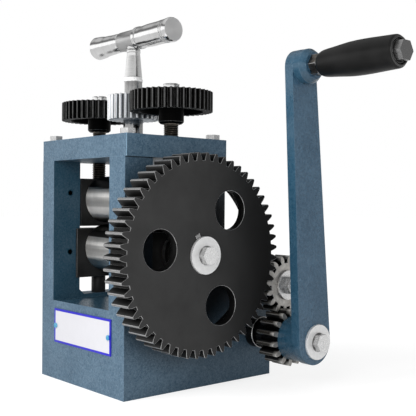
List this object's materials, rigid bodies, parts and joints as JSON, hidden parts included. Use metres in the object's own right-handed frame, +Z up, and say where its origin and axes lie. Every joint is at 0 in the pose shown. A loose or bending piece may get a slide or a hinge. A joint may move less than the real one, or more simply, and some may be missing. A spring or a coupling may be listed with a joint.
{
  "type": "jewellers rolling mill",
  "caption": "Hand-cranked bench rolling mill with two steel rolls in a cast frame, a geared crank drive at the side and a T handle on top that sets the gap.",
  "frame": {"origin": "in the plane that the base stands on, midway between the four bench bolt holes and under the middle of the cap plate and the roll axis", "axes": "+X along the rolls towards the crank, -Y the side the sheet is fed from, +Z up"},
  "size_m": [0.3836, 0.2428, 0.3689],
  "materials": {
    "frame_paint": "satin hammered blue paint on cast iron",
    "black_iron": "blackened, satin",
    "gear_black": "black satin with bright worn tooth lands",
    "gear_steel": "machined, oily grey brown",
    "roll_steel": "mirror polished hardened steel",
    "bright_steel": "polished, turned",
    "plain_steel": "turned steel",
    "dark_steel": "blackened steel",
    "zinc": "bright zinc plate",
    "bronze": "sintered bronze",
    "grip_black": "satin black phenolic",
    "plate_white": "white enamel with a plain blue border"
  },
  "bodies": {
    "frame": {"frame_casting": "frame_paint", "cap_plate": "frame_paint", "cap_bolts": "zinc", "front_plate": "plate_white", "plate_screws": "zinc", "lower_block_left": "black_iron", "lower_block_right": "black_iron", "lower_bush_left": "bronze", "lower_bush_right": "bronze", "support_post_left": "black_iron", "support_post_right": "black_iron", "stem_bush": "bronze", "crank_bush": "plain_steel", "idler_stud": "zinc", "idler_washer": "zinc", "idler_nut": "zinc"},
    "idler": {"idler_gear": "gear_steel"},
    "lower_roll_and_gear": {"lower_roll": "roll_steel", "gear_spacer": "black_iron", "big_gear": "gear_black", "gear_key": "plain_steel", "gear_washer": "zinc", "gear_bolt": "zinc"},
    "crank": {"crank_pinion": "gear_steel", "shaft_collar": "black_iron", "crank_arm": "frame_paint", "crank_washer": "zinc", "crank_bolt": "zinc", "handle_bolt": "dark_steel", "handle_nut": "plain_steel", "handle_washer": "dark_steel"},
    "grip": {"hand_grip": "grip_black"},
    "upper_blocks": {"upper_block_left": "black_iron", "upper_block_right": "black_iron", "upper_bush_left": "bronze", "upper_bush_right": "bronze"},
    "top_roll": {"upper_roll": "roll_steel"},
    "screw_left": {"left_screw": "dark_steel", "left_top_gear": "gear_black", "left_cap_screw": "zinc"},
    "screw_right": {"right_screw": "dark_steel", "right_top_gear": "gear_black", "right_cap_screw": "zinc"},
    "t_handle": {"t_stem": "bright_steel", "centre_pinion": "bright_steel", "stem_retainer": "dark_steel", "t_grip_left": "bright_steel", "t_grip_right": "bright_steel"}
  },
  "joints": [
    {"name": "crank_turn", "type": "hinge", "parent": "frame", "child": "crank", "pos_m": [0.1, 0.10903, 0.0485], "axis": [1, 0, 0], "continuous": true},
    {"name": "idler_spin", "type": "hinge", "parent": "frame", "child": "idler", "pos_m": [0.1, 0.11546, 0.10081], "axis": [1, 0, 0], "continuous": true},
    {"name": "lower_roll_spin", "type": "hinge", "parent": "frame", "child": "lower_roll_and_gear", "pos_m": [0, 0, 0.136], "axis": [1, 0, 0], "continuous": true},
    {"name": "grip_spin", "type": "hinge", "parent": "crank", "child": "grip", "pos_m": [0.2, 0.08785, 0.31767], "axis": [1, 0, 0], "continuous": true},
    {"name": "t_turn", "type": "hinge", "parent": "frame", "child": "t_handle", "pos_m": [0, 0, 0.3], "axis": [0, 0, 1], "range_deg": [-2800, 616]},
    {"name": "upper_roll_lift", "type": "slide", "parent": "frame", "child": "upper_blocks", "axis": [0, 0, 1], "range_m": [-0.0022, 0.01]},
    {"name": "left_screw_turn", "type": "hinge", "parent": "upper_blocks", "child": "screw_left", "pos_m": [-0.0645, 0, 0.25], "axis": [0, 0, 1], "range_deg": [-396, 1800]},
    {"name": "right_screw_turn", "type": "hinge", "parent": "upper_blocks", "child": "screw_right", "pos_m": [0.0645, 0, 0.25], "axis": [0, 0, 1], "range_deg": [-396, 1800]},
    {"name": "upper_roll_spin", "type": "hinge", "parent": "upper_blocks", "child": "top_roll", "pos_m": [0, 0, 0.1885], "axis": [1, 0, 0], "continuous": true}
  ],
  "couplings": [
    {"joint": "idler_spin", "follows": "crank_turn", "ratio": -0.9375},
    {"joint": "lower_roll_spin", "follows": "crank_turn", "ratio": 0.27273},
    {"joint": "t_turn", "follows": "upper_roll_lift", "rad_per_m": -4886.9},
    {"joint": "left_screw_turn", "follows": "upper_roll_lift", "rad_per_m": 3141.6},
    {"joint": "right_screw_turn", "follows": "upper_roll_lift", "rad_per_m": 3141.6}
  ]
}
